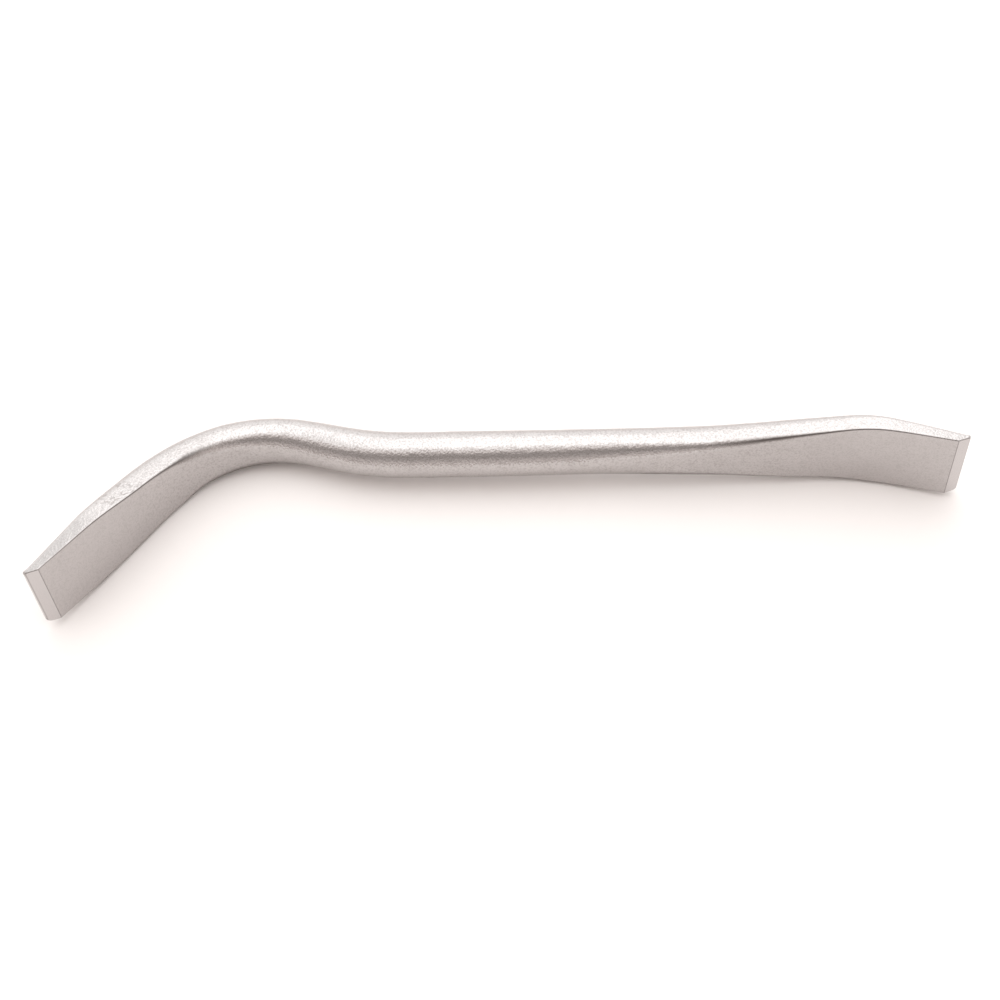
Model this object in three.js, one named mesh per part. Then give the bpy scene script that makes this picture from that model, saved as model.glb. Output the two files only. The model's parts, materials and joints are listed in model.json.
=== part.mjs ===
// Double-ended tyre lever: one drop-forged steel bar with a round grip, a cranked spoon at one end
// and a nearly straight spoon at the other.
// It is drawn with the grip along X, the width of the spoons along Z and both spoons curling towards
// -Y. Then it is laid down the way it comes to rest on its side, on the edges of both spoons and
// on the outside of the crank, which leans it back. The origin is under the middle of its box.
import * as THREE from 'three';
import { ConvexHull } from 'three/addons/math/ConvexHull.js';

// Driving dimensions, in millimetres and degrees.

const gripDiameter = 12;        // the bar stock that both ends are forged from
const gripLength = 27.5;        // plain round stretch between the two forged ends
const bladeWidth = 20.6;        // both spoons, across their flat faces
const tipCornerRadius = 1.1;    // rounding of the two corners of a tip
const bevelLength = 2.6;        // ground bevel along the hollow side of a tip
const bevelDepth = 1.8;         // how much thickness the bevel takes off at the tip
const edgeRadius = 0.4;         // edges of the hollow, flat side of a spoon
const throatEdgeRadius = 0.8;   // the same edges where the spoon narrows
const neckFrontRoundness = 0.5; // rounding of the neck as a share of the grip's, hollow side
const neckBackRoundness = 0.85; // the same, outer side
const flat = 0.05;              // least half width of a flat left between two roundings

// Each end is described by its distance from its own tip: the blade tapers straight to the
// shoulder, narrows over the throat, and swells through the neck until it is the round grip.
// A spread is how far a width has gone from the grip's (0) to the blade's (1), and a fullness is
// a thickness as a share of the grip's.
const crankedEnd = {
  bladeLength: 18,
  throatLength: 18,
  shankLength: 26,
  neckLength: 43,
  tipThickness: 2.8,
  shoulderThickness: 5.3,
  throatFullness: 0.675,
  neckFullness: 0.79,
  throatSpread: 0.63,
  neckSpread: 0.16,
  backRadius: 1.0,
  shoulderBackRadius: 1.6,
  throatBackRadius: 3.8,
};
const levelEnd = {
  bladeLength: 20,
  throatLength: 18,
  shankLength: 32,
  neckLength: 55,
  tipThickness: 2.8,
  shoulderThickness: 5.3,
  throatFullness: 0.62,
  neckFullness: 0.825,
  throatSpread: 0.6,
  neckSpread: 0.08,
  backRadius: 0.8,
  shoulderBackRadius: 1.4,
  throatBackRadius: 3.4,
};

// Bends of the bar, each turned smoothly over a length that starts so far from the end's own tip.
const crankBend = { angle: 80.3, start: 24, length: 84 };
const returnBend = { angle: 22, start: 80.5, length: 42 };
const levelBend = { angle: 18.8, start: 8, length: 36 };
const easingBend = { angle: 0.8, start: 80, length: 50 };

// How finely the forging is divided.
const cornerSteps = 6;          // facets round a quarter of the section
const tipSteps = 4;             // facets round a tip corner
const forgedStep = 2.8;         // greatest length of a facet along the forged ends
const walkStep = 0.25;          // step used to add up the bent centre line
const restingTurns = 8;         // most faces of its hull that the lever rolls over as it settles

const metalColour = 0xc3bcb8;

const forgedLength = (end) => end.bladeLength + end.throatLength + end.shankLength + end.neckLength;
const leverLength = forgedLength(crankedEnd) + gripLength + forgedLength(levelEnd);

// Smooth step from 0 to 1 with no jump in slope or curvature.
function ease(x) {
  const u = Math.min(Math.max(x, 0), 1);
  return u * u * u * (u * (6 * u - 15) + 10);
}

// Direction of the centre line, measured from +X towards +Y, so far from the cranked tip.
function heading(fromCranked) {
  const fromLevel = leverLength - fromCranked;
  const turned = (bend, distance) => bend.angle * (1 - ease((distance - bend.start) / bend.length));
  const degrees = turned(crankBend, fromCranked) - turned(returnBend, fromCranked)
    + turned(easingBend, fromLevel) - turned(levelBend, fromLevel);
  return THREE.MathUtils.degToRad(degrees);
}

// Value at a distance from the tip: straight up to the second station, then a smooth curve through
// the later ones that never overshoots them, and level where it reaches the last one.
function profile(stations, values, distance) {
  const last = stations.length - 1;
  if (distance >= stations[last]) {
    return values[last];
  }
  const rise = stations.slice(1).map((x, i) => (values[i + 1] - values[i]) / (x - stations[i]));
  const slopeAt = (i) => {
    if (i <= 1) {
      return rise[0];
    }
    if (i === last || rise[i - 1] * rise[i] <= 0) {
      return 0;
    }
    return 2 * rise[i - 1] * rise[i] / (rise[i - 1] + rise[i]);
  };
  const i = Math.max(stations.findIndex((x) => x > distance) - 1, 0);
  const width = stations[i + 1] - stations[i];
  const u = (distance - stations[i]) / width;
  const back = 1 - u;
  return values[i] * (1 + 2 * u) * back * back + slopeAt(i) * width * u * back * back
    + values[i + 1] * u * u * (3 - 2 * u) - slopeAt(i + 1) * width * u * u * back;
}

// The rounded section of one end at a distance from its tip. Front is the hollow side.
function sectionOf(end, distance) {
  const shoulder = end.bladeLength;
  const throat = shoulder + end.throatLength;
  const neck = throat + end.shankLength;
  const stations = [0, shoulder, throat, neck, neck + end.neckLength];
  const at = (values) => profile(stations, values, distance);
  const gripRadius = gripDiameter / 2;
  const widthAt = (spread) => gripDiameter + spread * (bladeWidth - gripDiameter);
  const width = at([
    bladeWidth, bladeWidth, widthAt(end.throatSpread), widthAt(end.neckSpread), gripDiameter,
  ]);
  const thickness = at([
    end.tipThickness,
    end.shoulderThickness,
    end.throatFullness * gripDiameter,
    end.neckFullness * gripDiameter,
    gripDiameter,
  ]);
  const cornerCut = distance < tipCornerRadius
    ? tipCornerRadius - Math.sqrt(distance * (2 * tipCornerRadius - distance))
    : 0;
  const halfWidth = width / 2 - cornerCut;
  const bevel = bevelDepth * Math.max(1 - distance / bevelLength, 0);
  const front = -thickness / 2 + bevel;
  const back = thickness / 2;
  const depth = back - front;
  const frontWanted = at([
    edgeRadius,
    edgeRadius,
    throatEdgeRadius,
    neckFrontRoundness * gripRadius,
    gripRadius,
  ]);
  const backWanted = at([
    end.backRadius,
    end.shoulderBackRadius,
    end.throatBackRadius,
    neckBackRoundness * gripRadius,
    gripRadius,
  ]);
  const frontRadius = Math.min(frontWanted, depth / 2 - flat, halfWidth - flat);
  const backRadius = Math.min(backWanted, depth - frontRadius - 2 * flat, halfWidth - flat);
  return { halfWidth, front, back, frontRadius, backRadius };
}

// Outline of a section as [across the thickness, across the width], once round.
function outline({ halfWidth, front, back, frontRadius, backRadius }) {
  const points = [];
  const corner = (n, z, radius, from) => {
    for (let i = 0; i <= cornerSteps; i += 1) {
      const angle = from - (i / cornerSteps) * Math.PI / 2;
      points.push([n + radius * Math.cos(angle), z + radius * Math.sin(angle)]);
    }
  };
  corner(front + frontRadius, halfWidth - frontRadius, frontRadius, Math.PI);
  corner(back - backRadius, halfWidth - backRadius, backRadius, Math.PI / 2);
  corner(back - backRadius, backRadius - halfWidth, backRadius, 0);
  corner(front + frontRadius, frontRadius - halfWidth, frontRadius, -Math.PI / 2);
  return points;
}

// Distances from a tip at which one end gets a section, starting at the tip itself.
function stationsOf(end) {
  const distances = [];
  for (let i = 0; i < tipSteps; i += 1) {
    distances.push(tipCornerRadius * (1 - Math.cos((i / tipSteps) * Math.PI / 2)));
  }
  distances.push(tipCornerRadius, bevelLength, (bevelLength + end.bladeLength) / 2);
  const length = forgedLength(end) - end.bladeLength;
  const count = Math.ceil(length / forgedStep);
  for (let i = 0; i <= count; i += 1) {
    distances.push(end.bladeLength + length * i / count);
  }
  return distances;
}

// Points of the centre line at the given distances from the cranked tip, with their headings.
function centreLine(distances) {
  const places = [];
  let walked = 0;
  let x = 0;
  let y = 0;
  for (const distance of distances) {
    const count = Math.ceil((distance - walked) / walkStep);
    const step = count > 0 ? (distance - walked) / count : 0;
    for (let i = 0; i < count; i += 1) {
      const middle = heading(walked + (i + 0.5) * step);
      x += step * Math.cos(middle);
      y += step * Math.sin(middle);
    }
    walked = distance;
    places.push({ x, y, angle: heading(distance) });
  }
  return places;
}

function leverGeometry() {
  const cranked = stationsOf(crankedEnd);
  const level = stationsOf(levelEnd).reverse();
  const distances = [...cranked, ...level.map((distance) => leverLength - distance)];
  const sections = [
    ...cranked.map((distance) => outline(sectionOf(crankedEnd, distance))),
    ...level.map((distance) => outline(sectionOf(levelEnd, distance))),
  ];
  const places = centreLine(distances);
  const around = sections[0].length;
  const positions = [];
  sections.forEach((points, row) => {
    const { x, y, angle } = places[row];
    for (const [n, z] of points) {
      positions.push(x - n * Math.sin(angle), y + n * Math.cos(angle), z);
    }
  });
  const triangles = [];
  for (let row = 0; row + 1 < sections.length; row += 1) {
    for (let i = 0; i < around; i += 1) {
      const here = row * around + i;
      const beside = row * around + (i + 1) % around;
      triangles.push(here, here + around, beside, beside, here + around, beside + around);
    }
  }
  const lastRow = (sections.length - 1) * around;
  for (let i = 1; i + 1 < around; i += 1) {
    triangles.push(0, i, i + 1);
    triangles.push(lastRow, lastRow + i + 1, lastRow + i);
  }
  const geometry = new THREE.BufferGeometry();
  geometry.setAttribute('position', new THREE.Float32BufferAttribute(positions, 3));
  geometry.setIndex(triangles);
  return geometry;
}

// Centre of mass of a closed geometry of even density, from the tetrahedra under its triangles.
function centreOfMass(points, triangles) {
  const sum = new THREE.Vector3();
  let total = 0;
  for (let i = 0; i < triangles.length; i += 3) {
    const [a, b, c] = [points[triangles[i]], points[triangles[i + 1]], points[triangles[i + 2]]];
    const volume = a.dot(b.clone().cross(c)) / 6;
    sum.add(a.clone().add(b).add(c).multiplyScalar(volume / 4));
    total += volume;
  }
  return sum.divideScalar(total);
}

// The direction that points up once a body let go in its drawn pose lies still: it rolls onto the
// face of its hull that is straight under its centre of mass, again and again.
function restingUp(geometry) {
  const position = geometry.getAttribute('position');
  const points = Array.from(
    { length: position.count },
    (_, i) => new THREE.Vector3().fromBufferAttribute(position, i),
  );
  const hull = new ConvexHull().setFromPoints(points);
  const centre = centreOfMass(points, geometry.getIndex().array);
  const down = new THREE.Vector3(0, 0, -1);
  for (let turn = 0; turn < restingTurns; turn += 1) {
    let nearest = Infinity;
    let under = down;
    for (const { normal, constant } of hull.faces) {
      const distance = (constant - normal.dot(centre)) / normal.dot(down);
      if (normal.dot(down) > 0 && distance < nearest) {
        nearest = distance;
        under = normal;
      }
    }
    down.copy(under);
  }
  return down.negate();
}

function layDown(geometry) {
  const up = new THREE.Vector3(0, 0, 1);
  geometry.applyQuaternion(new THREE.Quaternion().setFromUnitVectors(restingUp(geometry), up));
  geometry.computeBoundingBox();
  const box = geometry.boundingBox;
  geometry.translate(-(box.min.x + box.max.x) / 2, -(box.min.y + box.max.y) / 2, -box.min.z);
  geometry.computeVertexNormals();
  return geometry;
}

function forgedLever() {
  const material = new THREE.MeshStandardMaterial({
    color: metalColour,
    roughness: 0.4,
    metalness: 1,
  });
  const mesh = new THREE.Mesh(layDown(leverGeometry()), material);
  mesh.name = 'forged_lever';
  return mesh;
}

const group = new THREE.Group();
group.add(forgedLever());

export default group;
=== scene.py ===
"""A forged tyre lever with a satin plated finish, lying on a pale studio floor.

The lever is one piece of steel. Its surface is swept in rows along a bent centre line, with the
bends, widths and thicknesses of the design model. It adds the fine edge roundings, the forging waves
and the surface texture that the design model leaves out.
"""

import json
import math

import bpy
import numpy as np
from mathutils import Matrix, Vector, noise


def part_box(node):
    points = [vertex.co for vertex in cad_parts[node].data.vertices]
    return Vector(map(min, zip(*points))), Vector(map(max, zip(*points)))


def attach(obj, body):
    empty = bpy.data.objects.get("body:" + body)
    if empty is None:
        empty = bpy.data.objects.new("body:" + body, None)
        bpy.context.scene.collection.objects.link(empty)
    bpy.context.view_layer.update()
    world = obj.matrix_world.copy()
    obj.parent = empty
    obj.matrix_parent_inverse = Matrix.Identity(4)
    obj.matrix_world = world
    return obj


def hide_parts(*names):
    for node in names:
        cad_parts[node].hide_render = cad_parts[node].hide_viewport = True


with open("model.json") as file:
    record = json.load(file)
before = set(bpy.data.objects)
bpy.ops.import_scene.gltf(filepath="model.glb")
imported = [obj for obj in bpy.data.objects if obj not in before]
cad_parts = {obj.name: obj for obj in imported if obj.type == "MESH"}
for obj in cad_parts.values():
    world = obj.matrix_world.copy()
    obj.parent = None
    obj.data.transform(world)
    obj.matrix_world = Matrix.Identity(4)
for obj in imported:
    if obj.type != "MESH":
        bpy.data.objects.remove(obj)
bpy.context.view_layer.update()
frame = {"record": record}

bl_info = {
    "name": "Forged Tyre Lever",
    "version": (1, 0, 0),
    "blender": (4, 5, 0),
    "location": "View3D > Sidebar > Tyre Lever",
    "description": "Builds a forged, plated tyre lever and the studio it lies in",
    "category": "Add Mesh",
}

MM = 0.001
DESIGN_NODE = "forged_lever"


# Settings that a user would change.


class LeverSizes(bpy.types.PropertyGroup):
    """Sizes of the forging, in metres."""

    grip_diameter: bpy.props.FloatProperty(
        name="Grip diameter",
        description="Diameter of the bar stock that both ends are forged from",
        default=0.012,
        unit="LENGTH",
    )
    grip_length: bpy.props.FloatProperty(
        name="Grip length",
        description="Plain round stretch between the two forged ends",
        default=0.0275,
        unit="LENGTH",
    )
    blade_width: bpy.props.FloatProperty(
        name="Blade width",
        description="Width of both spoons across their flat faces",
        default=0.0206,
        unit="LENGTH",
    )
    bevel_length: bpy.props.FloatProperty(
        name="Bevel length",
        description="Length of the ground bevel on the hollow side of a tip",
        default=0.0026,
        unit="LENGTH",
    )
    bevel_depth: bpy.props.FloatProperty(
        name="Bevel depth",
        description="Thickness that the bevel takes off at the tip",
        default=0.0018,
        unit="LENGTH",
    )
    forging_waves: bpy.props.FloatProperty(
        name="Forging waves",
        description="Height of the slow unevenness that the hammer leaves",
        default=0.00005,
        unit="LENGTH",
    )


class LeverFinish(bpy.types.PropertyGroup):
    """Colours and texture of the plated steel."""

    plating: bpy.props.FloatVectorProperty(
        name="Plating",
        description="Reflected colour of the blasted and plated steel",
        subtype="COLOR",
        default=(0.523, 0.498, 0.492),
    )
    pits: bpy.props.FloatVectorProperty(
        name="Pits",
        description="Colour of the small dark pits in the forged skin",
        subtype="COLOR",
        default=(0.165, 0.135, 0.12),
    )
    # Painted shade: colour of the painted dark reflections along the ridges, at the bevel's crease
    # and round the tip.
    edges: bpy.props.FloatVectorProperty(
        name="Edges",
        description="Colour of the thin dark lines along the ridges and the bevels",
        subtype="COLOR",
        default=(0.085, 0.068, 0.06),
    )
    ground: bpy.props.FloatVectorProperty(
        name="Ground steel",
        description="Reflected colour of the ground bevels",
        subtype="COLOR",
        default=(0.56, 0.535, 0.53),
    )
    roughness: bpy.props.FloatProperty(
        name="Roughness",
        description="Roughness of the blasted plating",
        default=0.21,
        min=0.05,
        max=1.0,
        subtype="FACTOR",
    )
    grain_size: bpy.props.FloatProperty(
        name="Grain size",
        description="Size of the marks that the blasting left",
        default=0.0005,
        unit="LENGTH",
    )


class StudioSettings(bpy.types.PropertyGroup):
    """Floor, light and camera."""

    floor: bpy.props.FloatVectorProperty(
        name="Floor",
        description="Colour of the paper that the lever lies on",
        subtype="COLOR",
        default=(0.92, 0.885, 0.87),
    )
    softbox_power: bpy.props.FloatProperty(
        name="Softbox power",
        description="Power of the large overhead softbox",
        default=2.3,
        unit="POWER",
    )
    camera_elevation: bpy.props.FloatProperty(
        name="Camera elevation",
        description="Height of the camera above the horizon",
        default=math.radians(57.973),
        unit="ROTATION",
    )


# Shape of the forging, in millimetres. The bends, widths and thicknesses are the design model's. The
# tip corners, the front edges and the arrises have roundings of their own.

# Rounding of the lower and the upper corner of a tip.
TIP_CORNER_RADII = (1.3, 0.6)
# Rounding of the neck's back as a share of the grip's.
NECK_BACK_ROUNDNESS = 0.85
# Least rounding of the lower front edge.
LOW_EDGE_RADIUS = 0.9
# The back corner leaves this many lower front radii free of the thickness, and may take up this
# share of half the width.
FRONT_CLEARANCE = 1.2
BACK_CORNER_SHARE = 0.98

CRANKED_END = {
    "blade_length": 18,
    "throat_length": 18,
    "shank_length": 26,
    "neck_length": 43,
    "tip_thickness": 2.8,
    "shoulder_thickness": 5.3,
    "throat_fullness": 0.675,
    "neck_fullness": 0.79,
    "throat_spread": 0.63,
    "neck_spread": 0.16,
    "back_radius": 1.0,
    "shoulder_back_radius": 1.6,
    "throat_back_radius": 3.8,
    # Radii of the front edges: crisp near the tip, then melting into the round bar.
    "edge_stations": (0, 30, 46, 53, 62, 79, 105),
    "edge_radii": (0.35, 0.4, 0.8, 2.1, 3.1, 4.4, 6),
    "rounding_starts": 58,
    "rounding_ends": 96,
    # Where the tongs dented the spoon: distance from the tip, half the length, and strength.
    "tong_marks": (31, 8, 0.7),
    "ridge_fades": 44,
}
LEVEL_END = {
    "blade_length": 20,
    "throat_length": 18,
    "shank_length": 32,
    "neck_length": 55,
    "tip_thickness": 2.8,
    "shoulder_thickness": 5.3,
    "throat_fullness": 0.62,
    "neck_fullness": 0.825,
    "throat_spread": 0.6,
    "neck_spread": 0.08,
    "back_radius": 0.8,
    "shoulder_back_radius": 1.4,
    "throat_back_radius": 3.4,
    "edge_stations": (0, 24, 38, 50, 64, 86, 125),
    "edge_radii": (0.35, 0.4, 0.7, 1.3, 2.5, 4.2, 6),
    "rounding_starts": 64,
    "rounding_ends": 112,
    "tong_marks": (32, 9, 0.25),
    "ridge_fades": 46,
}

# Each bend: angle in degrees, and where it starts and how long it is from the end's own tip.
CRANK_BEND = (80.3, 24, 84)
RETURN_BEND = (22, 80.5, 42)
LEVEL_BEND = (18.8, 8, 36)
EASING_BEND = (0.8, 80, 50)

# Rounding of the arrises at a tip and of the crease where its bevel starts.
ARRIS_RADIUS = 0.18

# Slow unevenness of the skin: size of its features, and height of the fine ones against the broad
# ones. The shift keeps the two patterns apart. It fades in over this many lengths of the bevel.
BROAD_WAVE = 17
FINE_WAVE = 6
FINE_WAVE_SHIFT = Vector((3.1, 7.7, 1.9))
FINE_WAVE_SHARE = 0.5
WAVE_FADE = 2

# The painted dark lines along the ridges, a painted reflection of the dim room on the upper ridge
# and of the contact shadow on the lower one, fade in from the tip and out towards the neck over this
# length, and the lower one fades out by this length later. The upper one has this strength at the
# tip.
RIDGE_FADE = 26
TOP_RIDGE_AT_TIP = 0.6
# Strength of the painted dark shade lines at the bevel's crease and round the tip, and the tip
# line's width.
CREASE_STRENGTH = 0.75
TIP_STRENGTH = 0.6
TIP_LINE = 2 * ARRIS_RADIUS
# The ground steel reaches this little past the start of the bevel.
GROUND_OVERLAP = 0.01
# The skin turns rough over this length past the blade.
SKIN_TURNS_ROUGH = 40
# Above 1, the tong marks stay at full strength around their middle.
TONG_PLATEAU = 1.5

# How finely the surface is divided.
FLAT_COLUMNS = 10
SIDE_COLUMNS = 6
CORNER_COLUMNS = 12
ROW_STEP = 0.6
GRIP_ROW_STEP = 1.0
TIP_ROWS = 8
CREASE_ROWS = 3
CLOSEST_ROWS = 0.006
WALK_STEP = 0.1
# Size of the inner ring of a tip's end face against its rim.
TIP_RING = 0.9


def ease(x):
    """Smooth step from 0 to 1 with no jump in slope or curvature."""
    u = np.clip(x, 0, 1)
    return u**3 * (u * (6 * u - 15) + 10)


def forged_length(end):
    """Length of one forged end, from its tip to the grip."""
    return end["blade_length"] + end["throat_length"] + end["shank_length"] + end["neck_length"]


def heading(from_cranked, lever_length):
    """Direction of the centre line, in radians from +X towards +Y."""
    from_level = lever_length - from_cranked

    def turned(bend, distance):
        angle, start, length = bend
        return angle * (1 - ease((distance - start) / length))

    degrees = (
        turned(CRANK_BEND, from_cranked)
        - turned(RETURN_BEND, from_cranked)
        + turned(EASING_BEND, from_level)
        - turned(LEVEL_BEND, from_level)
    )
    return np.radians(degrees)


def profile(stations, values, distance):
    """A size at distances from the tip: straight to the second station, then a smooth curve through
    the later ones that never overshoots them, and level at the last one."""
    stations = np.array(stations, float)
    values = np.array(values, float)
    rise = np.diff(values) / np.diff(stations)
    slopes = np.zeros(len(stations))
    slopes[:2] = rise[0]
    for i in range(2, len(stations) - 1):
        before, after = rise[i - 1], rise[i]
        if before * after > 0:
            slopes[i] = 2 * before * after / (before + after)
    x = np.clip(distance, 0, stations[-1])
    i = np.clip(np.searchsorted(stations, x, side="right") - 1, 0, len(stations) - 2)
    width = stations[i + 1] - stations[i]
    u = (x - stations[i]) / width
    return (
        values[i] * (1 + 2 * u) * (1 - u) ** 2
        + slopes[i] * width * u * (1 - u) ** 2
        + values[i + 1] * u * u * (3 - 2 * u)
        - slopes[i + 1] * width * u * u * (1 - u)
    )


def quarter_round(distance, radius):
    """How far a rounded arris of that radius stands back, so far from the face it runs into."""
    reach = np.clip(radius - distance, 0, radius)
    return radius - np.sqrt(np.maximum(radius**2 - reach**2, 0))


def section_sizes(end, distance, sizes):
    """Low, high, front and back sides, three corner radii and roundness of a section."""
    grip = sizes.grip_diameter / MM
    blade = sizes.blade_width / MM
    bevel_length = sizes.bevel_length / MM
    shoulder = end["blade_length"]
    throat = shoulder + end["throat_length"]
    neck = throat + end["shank_length"]
    stations = [0, shoulder, throat, neck, neck + end["neck_length"]]
    throat_width = grip + end["throat_spread"] * (blade - grip)
    neck_width = grip + end["neck_spread"] * (blade - grip)
    width = profile(stations, [blade, blade, throat_width, neck_width, grip], distance)
    thickness = profile(
        stations,
        [
            end["tip_thickness"],
            end["shoulder_thickness"],
            end["throat_fullness"] * grip,
            end["neck_fullness"] * grip,
            grip,
        ],
        distance,
    )
    arris = quarter_round(distance, ARRIS_RADIUS)
    low = quarter_round(distance, TIP_CORNER_RADII[0]) - width / 2
    high = width / 2 - quarter_round(distance, TIP_CORNER_RADII[1])
    # The bevel runs into the flat face over a short curve instead of a knife-sharp crease.
    past = (distance - bevel_length) / ARRIS_RADIUS
    soft = np.where(np.abs(past) < 1, (1 - past) ** 2 / 4, np.maximum(-past, 0)) * ARRIS_RADIUS
    bevel = sizes.bevel_depth / MM * soft / bevel_length
    front = -thickness / 2 + bevel + arris
    back = thickness / 2 - arris
    depth = back - front
    front_wanted = profile(end["edge_stations"], end["edge_radii"], distance)
    back_wanted = profile(
        stations,
        [
            end["back_radius"],
            end["shoulder_back_radius"],
            end["throat_back_radius"],
            NECK_BACK_ROUNDNESS * grip / 2,
            grip / 2,
        ],
        distance,
    )
    front_radius = np.minimum(front_wanted, depth / 2)
    low_radius = np.minimum(np.maximum(front_wanted, LOW_EDGE_RADIUS), depth / 2)
    room_for_back = np.minimum(depth - low_radius * FRONT_CLEARANCE, high * BACK_CORNER_SHARE)
    back_radius = np.minimum(back_wanted, room_for_back)
    rounding = end["rounding_ends"] - end["rounding_starts"]
    roundness = ease((distance - end["rounding_starts"]) / rounding)
    return low, high, front, back, front_radius, low_radius, back_radius, roundness


def outline(low, high, front, back, front_radius, low_radius, back_radius, roundness):
    """One section as an array of (across the thickness, across the width), once round.

    Column 0 is the lower end of the front flat. The rounded rectangle melts into an ellipse as
    roundness goes to 1, so the columns spread evenly round the grip."""
    points = []

    def flat(start, end, count):
        for i in range(count):
            points.append(np.add(start, np.subtract(end, start) * i / count))

    def corner(n, z, radius, start):
        for i in range(CORNER_COLUMNS):
            angle = start - i / CORNER_COLUMNS * math.pi / 2
            points.append((n + radius * math.cos(angle), z + radius * math.sin(angle)))

    fr, lr, br = front_radius, low_radius, back_radius
    flat((front, low + lr), (front, high - fr), FLAT_COLUMNS)
    corner(front + fr, high - fr, fr, math.pi)
    flat((front + fr, high), (back - br, high), SIDE_COLUMNS)
    corner(back - br, high - br, br, math.pi / 2)
    flat((back, high - br), (back, low + br), FLAT_COLUMNS)
    corner(back - br, low + br, br, 0)
    flat((back - br, low), (front + lr, low), SIDE_COLUMNS)
    corner(front + lr, low + lr, lr, -math.pi / 2)
    boxy = np.array(points)
    quadrant = FLAT_COLUMNS / 2 + CORNER_COLUMNS + SIDE_COLUMNS / 2
    angles = math.pi - (np.arange(len(points)) - FLAT_COLUMNS / 2) / quadrant * math.pi / 2
    across = (front + back) / 2 + (back - front) / 2 * np.cos(angles)
    upright = (low + high) / 2 + (high - low) / 2 * np.sin(angles)
    return boxy * (1 - roundness) + np.column_stack([across, upright]) * roundness


def row_distances(end, sizes):
    """Distances from a tip at which one end gets a row of points, from the tip inwards."""
    bevel = sizes.bevel_length / MM
    around_crease = range(-CREASE_ROWS, CREASE_ROWS + 1)
    wanted = [bevel + ARRIS_RADIUS * i / CREASE_ROWS for i in around_crease]
    for radius in (*TIP_CORNER_RADII, ARRIS_RADIUS):
        for i in range(TIP_ROWS + 1):
            wanted.append(radius * (1 - math.cos(i / TIP_ROWS * math.pi / 2)))
    start = bevel + 2 * ARRIS_RADIUS
    count = round((forged_length(end) - start) / ROW_STEP)
    wanted.extend(np.linspace(start, forged_length(end), count + 1))
    rows = []
    for distance in sorted(wanted):
        if not rows or distance - rows[-1] > CLOSEST_ROWS:
            rows.append(float(distance))
    return rows


def centre_line(distances, lever_length):
    """Points of the centre line and its headings at the given distances from the cranked tip."""
    steps = round(lever_length / WALK_STEP)
    walked = np.linspace(0, lever_length, steps + 1)
    middles = heading((walked[1:] + walked[:-1]) / 2, lever_length)
    step = lever_length / steps
    x = np.concatenate([[0], np.cumsum(step * np.cos(middles))])
    y = np.concatenate([[0], np.cumsum(step * np.sin(middles))])
    return (
        np.interp(distances, walked, x),
        np.interp(distances, walked, y),
        heading(np.array(distances), lever_length),
    )


def forging_wave(point, size):
    """Height of the slow unevenness of the forged skin at a point, in millimetres."""
    broad = noise.noise(Vector(point) / BROAD_WAVE)
    fine = noise.noise(Vector(point) / FINE_WAVE + FINE_WAVE_SHIFT)
    return size * (broad + FINE_WAVE_SHARE * fine)


def surface_marks(column, columns, from_tip, bevel, end):
    """How much a point is ground steel, on a painted dark edge line of reflection and shade, rough
    forged skin and marked by the tongs, each from 0 to 1."""
    corner = CORNER_COLUMNS / 2
    on_front = column <= FLAT_COLUMNS + corner or column >= columns - corner
    on_bevel = on_front and from_tip < bevel + GROUND_OVERLAP
    ground = float(on_bevel or from_tip < ARRIS_RADIUS)
    from_high = abs(column - FLAT_COLUMNS - corner)
    from_low = abs(columns - corner - column)
    inwards = float(ease(from_tip / RIDGE_FADE))
    past_ridge = (from_tip - end["ridge_fades"]) / RIDGE_FADE
    top_fade = float(1 - ease(past_ridge))
    low_fade = float(1 - ease(past_ridge - 1))
    # Painted reflection of the dim room along the upper ridge and of the contact shadow along the
    # lower ridge.
    top_strength = TOP_RIDGE_AT_TIP + (1 - TOP_RIDGE_AT_TIP) * inwards
    top_ridge = (1 - from_high / corner) * top_fade * top_strength
    low_ridge = (1 - from_low / corner) * low_fade * inwards
    ridge = max(0.0, top_ridge, low_ridge)
    # Painted shade lines at the bevel's crease and round the tip.
    from_crease = abs(from_tip - bevel)
    crease = max(0.0, CREASE_STRENGTH - from_crease / ARRIS_RADIUS) if on_front else 0.0
    tip = max(0.0, TIP_STRENGTH - from_tip / TIP_LINE)
    rough = float(ease((from_tip - end["blade_length"]) / SKIN_TURNS_ROUGH))
    middle, reach, strength = end["tong_marks"]
    tongs = strength * float(ease(TONG_PLATEAU * (1 - abs(from_tip - middle) / reach)))
    side = FLAT_COLUMNS + CORNER_COLUMNS + SIDE_COLUMNS / 2
    other_side = columns - CORNER_COLUMNS - SIDE_COLUMNS / 2
    from_side = min(abs(column - side), abs(other_side - column))
    tongs *= float(1 - ease((from_side - SIDE_COLUMNS / 2) / CORNER_COLUMNS))
    return ground, max(ridge, crease, tip), rough, tongs


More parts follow.
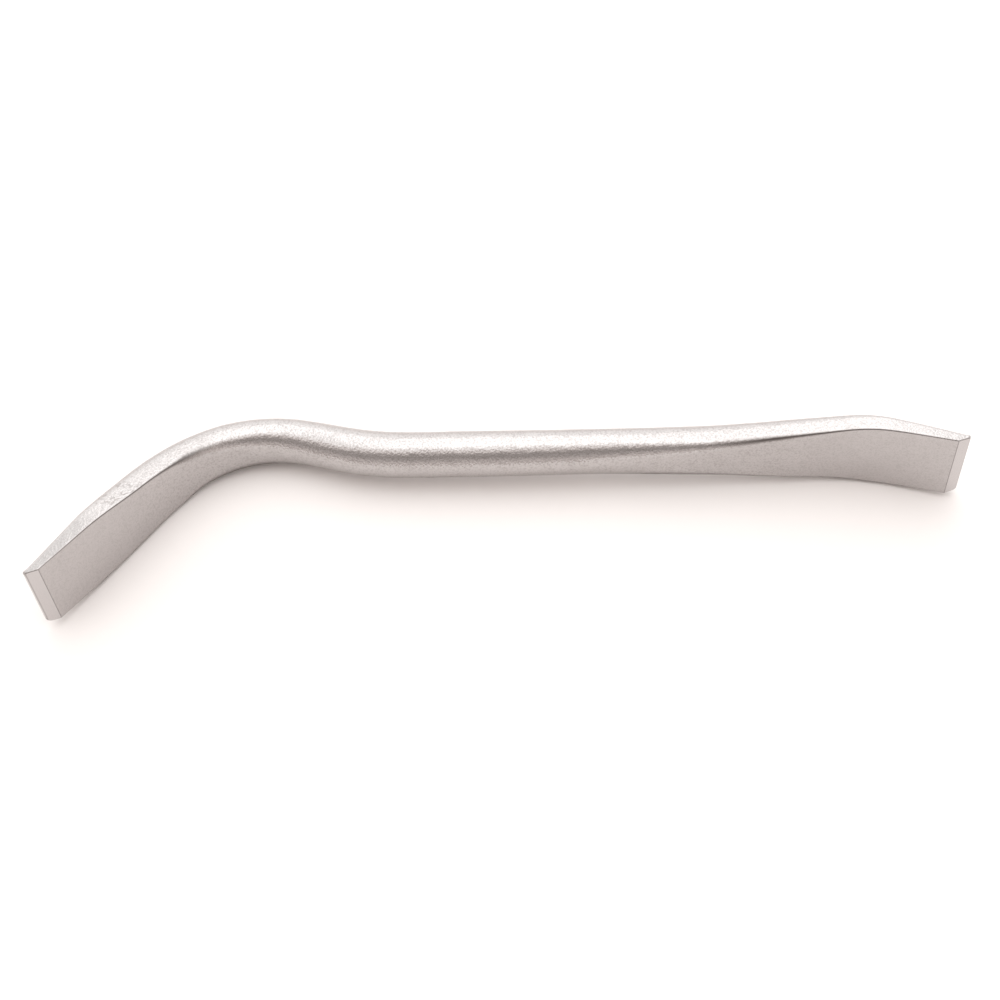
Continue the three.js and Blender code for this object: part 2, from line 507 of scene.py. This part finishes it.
def lever_surface(sizes):
    """Rows of points of the lever in its drawn pose, with the marks of each point and its place
    across the width. Millimetres: the hollow side faces -Y and the width runs along Z."""
    cranked = row_distances(CRANKED_END, sizes)
    level = row_distances(LEVEL_END, sizes)
    grip = sizes.grip_length / MM
    lever_length = forged_length(CRANKED_END) + grip + forged_length(LEVEL_END)
    grip_rows = round(grip / GRIP_ROW_STEP)
    along_grip = [cranked[-1] + grip * i / grip_rows for i in range(1, grip_rows)]
    distances = cranked + along_grip + [lever_length - distance for distance in reversed(level)]
    xs, ys, angles = centre_line(distances, lever_length)
    bevel = sizes.bevel_length / MM
    waves = sizes.forging_waves / MM
    rows, marks = [], []
    for distance, x, y, angle in zip(distances, xs, ys, angles):
        end = CRANKED_END if distance < lever_length / 2 else LEVEL_END
        from_tip = min(distance, lever_length - distance)
        parts = [float(value) for value in section_sizes(end, from_tip, sizes)]
        section = outline(*parts)
        columns = len(section)
        steps = np.roll(section, -1, axis=0) - np.roll(section, 1, axis=0)
        outward = np.column_stack([-steps[:, 1], steps[:, 0]])
        outward /= np.linalg.norm(outward, axis=1, keepdims=True)
        skin = float(ease((from_tip - bevel) / (WAVE_FADE * bevel)))
        for column, (n, z) in enumerate(section):
            spot = (x - n * math.sin(angle), y + n * math.cos(angle), z)
            wave = forging_wave(spot, waves) * skin
            raised_n, raised_z = (n, z) + outward[column] * wave
            spot = (x - raised_n * math.sin(angle), y + raised_n * math.cos(angle), raised_z)
            rows.append(spot)
            kinds = surface_marks(column, columns, from_tip, bevel, end)
            marks.append((*kinds, raised_z * MM))
    return np.array(rows), columns, marks


def forged_lever_mesh(sizes):
    """The lever as a closed mesh in its drawn pose, in millimetres."""
    points, columns, marks = lever_surface(sizes)
    faces = []
    for row in range(len(points) // columns - 1):
        for column in range(columns):
            here = row * columns + column
            beside = row * columns + (column + 1) % columns
            faces.append((here, here + columns, beside + columns, beside))
    points = list(map(tuple, points))
    last = len(points) - columns
    for first, turn in ((0, 1), (last, -1)):
        rim = [first + column for column in range(columns)]
        centre = np.mean([points[i] for i in rim], axis=0)
        inner = []
        for i in rim:
            inner.append(len(points))
            points.append(tuple(centre + TIP_RING * (np.array(points[i]) - centre)))
            marks.append((1.0, 0.0, 0.0, 0.0, marks[i][4]))
        for column in range(columns):
            after = (column + 1) % columns
            faces.append((rim[column], rim[after], inner[after], inner[column])[::turn])
        faces.append(tuple(inner)[::turn])
    mesh = bpy.data.meshes.new("forged_tyre_lever")
    mesh.from_pydata(points, [], faces)
    for name, values in zip(("ground", "edge", "rough", "tongs", "across"), zip(*marks)):
        attribute = mesh.attributes.new(name, "FLOAT", "POINT")
        attribute.data.foreach_set("value", values)
    mesh.polygons.foreach_set("use_smooth", [True] * len(mesh.polygons))
    mesh.update()
    return mesh


def lay_down(mesh):
    """Leans the mesh back as the design model lies, and sets it on the same spot in metres."""
    axes = {m["name"]: Vector(m["axis"]) for m in frame["record"]["mounts"]}
    across = axes["level_spoon_face"].cross(axes["cranked_spoon_face"]).normalized()
    lean = Vector((0, 0, 1)).rotation_difference(across).to_matrix().to_4x4()
    mesh.transform(Matrix.Scale(MM, 4) @ lean)
    co = np.array([vertex.co for vertex in mesh.vertices])
    low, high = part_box(DESIGN_NODE)
    middle = (low + high) / 2
    mine = (co.min(0) + co.max(0)) / 2
    shift = Vector((middle.x - mine[0], middle.y - mine[1], low.z - co[:, 2].min()))
    mesh.transform(Matrix.Translation(shift))


# Shader building.


class Value:
    """A value socket of a material. Arithmetic on it adds Math nodes."""

    def __init__(self, finish, socket):
        self.finish = finish
        self.socket = socket

    def _math(self, operation, *terms):
        return self.finish.node("ShaderNodeMath", {"operation": operation}, dict(enumerate(terms)))

    def __add__(self, other):
        return self._math("ADD", self, other)

    def __radd__(self, other):
        return self._math("ADD", other, self)

    def __sub__(self, other):
        return self._math("SUBTRACT", self, other)

    def __rsub__(self, other):
        return self._math("SUBTRACT", other, self)

    def __mul__(self, other):
        return self._math("MULTIPLY", self, other)

    def __rmul__(self, other):
        return self._math("MULTIPLY", other, self)

    def angle_from(self, other):
        return self._math("ARCTAN2", self, other)


class Finish:
    """A node tree being filled in, for a material or the world."""

    def __init__(self, tree):
        self.tree = tree
        tree.nodes.clear()

    def node(self, kind, settings=None, inputs=None, output=0):
        """Adds a node: its settings first, then the values or links of its sockets."""
        node = self.tree.nodes.new(kind)
        for name, value in (settings or {}).items():
            if name == "stops":
                self._set_stops(node.color_ramp, value)
            else:
                setattr(node, name, value)
        for name, value in (inputs or {}).items():
            socket = node.inputs[name]
            if isinstance(value, Value):
                self.tree.links.new(value.socket, socket)
            else:
                socket.default_value = value
        if not node.outputs:
            return node
        return Value(self, node.outputs[output])

    @staticmethod
    def _set_stops(ramp, stops):
        while len(ramp.elements) < len(stops):
            ramp.elements.new(1.0)
        for element, (position, shade) in zip(ramp.elements, stops):
            element.position = position
            element.color = (shade, shade, shade, 1)

    def mark(self, name):
        """Value of one of the lever's point attributes."""
        return self.node("ShaderNodeAttribute", {"attribute_name": name}, output=2)

    def step(self, value, start, end):
        """Smooth step of a value from 0 at start to 1 at end."""
        settings = {"interpolation_type": "SMOOTHSTEP"}
        inputs = {"Value": value, "From Min": start, "From Max": end}
        return self.node("ShaderNodeMapRange", settings, inputs)

    def speckle(self, place, size, detail=2.0, roughness=0.5):
        """Noise from 0 to 1 with features of a size in metres."""
        inputs = {"Vector": place, "Scale": 1 / size, "Detail": detail, "Roughness": roughness}
        return self.node("ShaderNodeTexNoise", None, inputs)

    def mixed(self, factor, first, second):
        """Colour that goes from first to second."""
        settings = {"data_type": "RGBA"}
        return self.node("ShaderNodeMix", settings, {0: factor, 6: first, 7: second}, output=2)


def opaque(colour):
    """A colour with full alpha, as colour sockets take it."""
    return (*colour, 1.0)


# Surface texture, in metres: depth of the blasting, width of the grinding lines on the bevels, and
# size of the cloudy tone and of the dents.
BLAST_DEPTH = 0.00007
GRINDING_LINE = 0.0002
CLOUD_SIZE = 0.012
DENT_SIZE = 0.0016
# How many times coarser the second noise is than the grain.
COARSE_TIMES = 5
# Where noise turns into a dent or a freckle: none at the first value, full at the second.
DENT_RANGE = (0.5, 0.62)
FRECKLE_RANGE = (0.4, 0.72)
# Share of the grain in the freckles' pattern, the rest being the coarse noise.
FRECKLE_GRAIN = 0.8
# How dark freckles are on smooth skin, how much darker on rough skin, and in the dents.
FRECKLE_SMOOTH = 0.16
FRECKLE_ROUGH = 0.14
FRECKLE_DENTS = 0.3
# How far the edge lines take on the colour of the painted dark reflection and shade.
EDGE_SHADE_STRENGTH = 0.9
# Shade of the cloudy tone at its darkest and lightest noise.
CLOUD_TONE = [(0.3, 0.96), (0.7, 1.0)]
# How far grain, cloud and edges change the roughness.
GRAIN_ROUGHNESS = 0.15
CLOUD_ROUGHNESS = 0.06
EDGE_ROUGHNESS = 0.15
# Heights, as shares of BLAST_DEPTH.
COARSE_HEIGHT = 1.5
SMOOTH_SKIN_HEIGHT = 0.75
ROUGH_SKIN_HEIGHT = 0.3
DENT_HEIGHT = 1.6
GROUND_GRAIN_HEIGHT = 0.15
GRINDING_HEIGHT = 0.12


def plated_steel(finish_settings):
    """Satin plating over blasted forged steel, with brighter ground bevels and painted dark edge
    shade.
    """
    material = bpy.data.materials.new("plated_steel_satin")
    material.use_nodes = True
    finish = Finish(material.node_tree)
    place = finish.node("ShaderNodeTexCoord", output=3)
    ground = finish.mark("ground")
    # Mask of the painted dark reflections and shade along the ridges, the bevel's crease and the
    # tip.
    edge = finish.mark("edge")
    rough = finish.mark("rough")
    tongs = finish.mark("tongs")
    across = finish.mark("across")

    grain_size = finish_settings.grain_size
    grain = finish.speckle(place, grain_size, detail=1.0)
    coarse = finish.speckle(place, COARSE_TIMES * grain_size, detail=2.0)
    cloud = finish.speckle(place, CLOUD_SIZE, detail=3.0)
    dents = finish.step(finish.speckle(place, DENT_SIZE, detail=1.0), *DENT_RANGE) * tongs
    grinding = finish.node(
        "ShaderNodeTexNoise",
        {"noise_dimensions": "1D"},
        {"W": across, "Scale": 1 / GRINDING_LINE, "Detail": 2.0},
    )
    skin = 1 - ground

    spots = grain * FRECKLE_GRAIN + coarse * (1 - FRECKLE_GRAIN)
    freckle = finish.step(spots, *FRECKLE_RANGE) * (FRECKLE_SMOOTH + rough * FRECKLE_ROUGH)
    freckle = (freckle + dents * FRECKLE_DENTS) * skin
    shade = finish.mixed(freckle, opaque(finish_settings.plating), opaque(finish_settings.pits))
    shade = finish.mixed(ground, shade, opaque(finish_settings.ground))
    # Painted shade: the dark reflections along the ridges, the bevel's crease and the tip are
    # painted into the colour here.
    shade = finish.mixed(edge * EDGE_SHADE_STRENGTH, shade, opaque(finish_settings.edges))
    tone = finish.node("ShaderNodeValToRGB", {"stops": CLOUD_TONE}, {0: cloud})
    settings = {"data_type": "RGBA", "blend_type": "MULTIPLY"}
    colour = finish.node("ShaderNodeMix", settings, {0: 1.0, 6: shade, 7: tone}, output=2)

    roughness = finish_settings.roughness + (grain - 0.5) * GRAIN_ROUGHNESS
    roughness = roughness + (cloud - 0.5) * CLOUD_ROUGHNESS
    roughness = roughness + edge * EDGE_ROUGHNESS

    blasted = (grain + coarse * COARSE_HEIGHT) * (SMOOTH_SKIN_HEIGHT + rough * ROUGH_SKIN_HEIGHT)
    blasted = blasted - dents * DENT_HEIGHT
    bevelled = grain * GROUND_GRAIN_HEIGHT + grinding * GRINDING_HEIGHT
    height = blasted * skin + bevelled * ground
    normal = finish.node(
        "ShaderNodeBump", None, {"Strength": 1.0, "Distance": BLAST_DEPTH, "Height": height}
    )
    shader = finish.node(
        "ShaderNodeBsdfPrincipled",
        None,
        {"Base Color": colour, "Metallic": 1.0, "Roughness": roughness, "Normal": normal},
    )
    finish.node("ShaderNodeOutputMaterial", None, {"Surface": shader})
    return material


# The paper's fibre: its size in metres, and its shade against the paper's.
FIBRE_SIZE = 0.004
FIBRE_SHADE = 0.985
PAPER_ROUGHNESS = 0.9


def studio_paper(colour):
    """Matt pale paper with a faint fibre."""
    material = bpy.data.materials.new("studio_paper")
    material.use_nodes = True
    finish = Finish(material.node_tree)
    place = finish.node("ShaderNodeTexCoord", output=3)
    fibre = finish.speckle(place, FIBRE_SIZE, detail=3.0)
    shade = finish.mixed(fibre, opaque(colour), opaque([FIBRE_SHADE * part for part in colour]))
    inputs = {"Base Color": shade, "Roughness": PAPER_ROUGHNESS}
    shader = finish.node("ShaderNodeBsdfPrincipled", None, inputs)
    finish.node("ShaderNodeOutputMaterial", None, {"Surface": shader})
    return material


# Studio.

FLOOR_SIZE = 6.0
CAMERA_TARGET = (-0.00217, 0.00339, 0.008)
CAMERA_AZIMUTH = math.radians(-86.205)
CAMERA_ROLL = math.radians(-3.478)
CAMERA_DISTANCE = 0.36855
CAMERA_LENS = 51.58
CAMERA_SENSOR = 36
CAMERA_CLIP_START = 0.01
SOFTBOX_SIZE = (0.8, 1.0)
SOFTBOX_PLACE = (0.0, 0.5, 0.866)

# Brightness of the room along an arc from the front horizon at 0 degrees, over the top at 90, to
# the back horizon at 180. The camera stands at the upper edge of the dim gap before the top.
ROOM_ARC = (
    (0, 0.96),
    (14, 0.89),
    (30, 0.62),
    (38, 0.49),
    (50, 0.46),
    (60, 0.75),
    (74, 1.42),
    (88, 1.87),
    (104, 1.42),
    (136, 1.25),
    (152, 1.69),
    (180, 1.56),
)
# Brightness that the white of the colour ramp stands for.
ROOM_PEAK = 2.4
# Brightness to the sides, where the middle of the arc lies along X, and the range of the squared
# distance from it over which the arc gives way to the sides.
ROOM_SIDES = 1.12
ROOM_MIDDLE = -0.15
ROOM_SIDE_RANGE = (0.15, 0.6)
# The light turns from warm in front to white overhead over this range of the arc, from 0 to 1.
WARM_LIGHT = (1.0, 0.92, 0.88)
WHITE_LIGHT = (1.0, 0.995, 0.985)
WHITE_RANGE = (0.33, 0.5)
# Brightness of the room where the camera sees it directly.
WHITE_TO_CAMERA = 1.3


def direction(azimuth, elevation):
    """Unit vector at an azimuth from +X towards +Y and an elevation above the floor."""
    flat = math.cos(elevation)
    return Vector((flat * math.cos(azimuth), flat * math.sin(azimuth), math.sin(elevation)))


def add_object(name, data):
    """Puts data into the scene as a new object."""
    thing = bpy.data.objects.new(name, data)
    bpy.context.scene.collection.objects.link(thing)
    return thing


def add_floor(colour):
    """Flat sheet of paper under the lever."""
    half = FLOOR_SIZE / 2
    mesh = bpy.data.meshes.new("floor")
    corners = [(-half, -half, 0), (half, -half, 0), (half, half, 0), (-half, half, 0)]
    mesh.from_pydata(corners, [], [(0, 1, 2, 3)])
    mesh.materials.append(studio_paper(colour))
    floor = add_object("floor", mesh)


def add_softbox(power):
    """Large soft overhead light, a little behind the lever."""
    light = bpy.data.lights.new("softbox", "AREA")
    light.shape = "RECTANGLE"
    light.size, light.size_y = SOFTBOX_SIZE
    light.energy = power
    softbox = add_object("softbox", light)
    softbox.location = SOFTBOX_PLACE
    softbox.rotation_euler = (-Vector(SOFTBOX_PLACE)).to_track_quat("-Z", "Y").to_euler()


def add_room():
    """Room light that follows ROOM_ARC near its middle and is even to the sides. The camera itself
    sees plain white."""
    world = bpy.data.worlds.new("studio")
    world.use_nodes = True
    bpy.context.scene.world = world
    finish = Finish(world.node_tree)
    towards = finish.node("ShaderNodeTexCoord")
    sideways, depth, height = (
        finish.node("ShaderNodeSeparateXYZ", None, {0: towards}, output=axis) for axis in range(3)
    )
    arc = height.angle_from(0 - depth) * (1 / math.pi)
    stops = [(angle / 180, glow / ROOM_PEAK) for angle, glow in ROOM_ARC]
    glow = finish.node("ShaderNodeValToRGB", {"stops": stops}, {0: arc}) * ROOM_PEAK
    from_middle = sideways - ROOM_MIDDLE
    aside = finish.step(from_middle * from_middle, *ROOM_SIDE_RANGE)
    glow = glow * (1 - aside) + aside * ROOM_SIDES
    to_camera = finish.node("ShaderNodeLightPath")
    glow = glow * (1 - to_camera) + to_camera * WHITE_TO_CAMERA
    whiteness = finish.step(arc, *WHITE_RANGE)
    tint = finish.mixed(whiteness, opaque(WARM_LIGHT), opaque(WHITE_LIGHT))
    background = finish.node("ShaderNodeBackground", None, {"Color": tint, "Strength": glow})
    finish.node("ShaderNodeOutputWorld", None, {"Surface": background})


def add_camera(elevation):
    """Camera above the front of the lever, turned a little about its own axis."""
    data = bpy.data.cameras.new("camera")
    data.lens = CAMERA_LENS
    data.sensor_width = CAMERA_SENSOR
    data.clip_start = CAMERA_CLIP_START
    camera = add_object("camera", data)
    outward = direction(CAMERA_AZIMUTH, elevation)
    right = Vector((0, 0, 1)).cross(outward).normalized()
    up = outward.cross(right)
    rolled = right * math.cos(CAMERA_ROLL) + up * math.sin(CAMERA_ROLL)
    axes = Matrix((rolled, outward.cross(rolled), outward)).transposed().to_4x4()
    place = Vector(CAMERA_TARGET) + outward * CAMERA_DISTANCE
    camera.matrix_world = Matrix.Translation(place) @ axes
    bpy.context.scene.camera = camera


# Operators and panel.


class AddForgedLever(bpy.types.Operator):
    """Adds the forged tyre lever in its plated finish"""

    bl_idname = "tyre_lever.add_lever"
    bl_label = "Add forged lever"

    def execute(self, context):
        scene = context.scene
        mesh = forged_lever_mesh(scene.tyre_lever_sizes)
        lay_down(mesh)
        mesh.materials.append(plated_steel(scene.tyre_lever_finish))
        lever = add_object("forged_tyre_lever", mesh)
        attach(lever, "root")
        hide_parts(DESIGN_NODE)
        return {"FINISHED"}


class AddStudio(bpy.types.Operator):
    """Adds the floor, the lights and the camera"""

    bl_idname = "tyre_lever.add_studio"
    bl_label = "Add studio"

    def execute(self, context):
        studio = context.scene.tyre_lever_studio
        add_floor(studio.floor)
        add_softbox(studio.softbox_power)
        add_room()
        add_camera(studio.camera_elevation)
        context.scene.view_settings.view_transform = "Standard"
        return {"FINISHED"}


class TyreLeverPanel(bpy.types.Panel):
    """Settings and buttons for the tyre lever"""

    bl_idname = "VIEW3D_PT_tyre_lever"
    bl_label = "Tyre Lever"
    bl_space_type = "VIEW_3D"
    bl_region_type = "UI"
    bl_category = "Tyre Lever"

    def draw(self, context):
        scene = context.scene
        for settings in (
            scene.tyre_lever_sizes,
            scene.tyre_lever_finish,
            scene.tyre_lever_studio,
        ):
            box = self.layout.box()
            for name in settings.__annotations__:
                box.prop(settings, name)
        self.layout.operator(AddForgedLever.bl_idname)
        self.layout.operator(AddStudio.bl_idname)


CLASSES = (
    LeverSizes,
    LeverFinish,
    StudioSettings,
    AddForgedLever,
    AddStudio,
    TyreLeverPanel,
)
SETTINGS = {
    "tyre_lever_sizes": LeverSizes,
    "tyre_lever_finish": LeverFinish,
    "tyre_lever_studio": StudioSettings,
}


def register():
    for each in CLASSES:
        bpy.utils.register_class(each)
    for name, group in SETTINGS.items():
        setattr(bpy.types.Scene, name, bpy.props.PointerProperty(type=group))


def unregister():
    for name in SETTINGS:
        delattr(bpy.types.Scene, name)
    for each in reversed(CLASSES):
        bpy.utils.unregister_class(each)


def main():
    register()
    bpy.ops.tyre_lever.add_lever()
    bpy.ops.tyre_lever.add_studio()


if __name__ == "__main__":
    main()
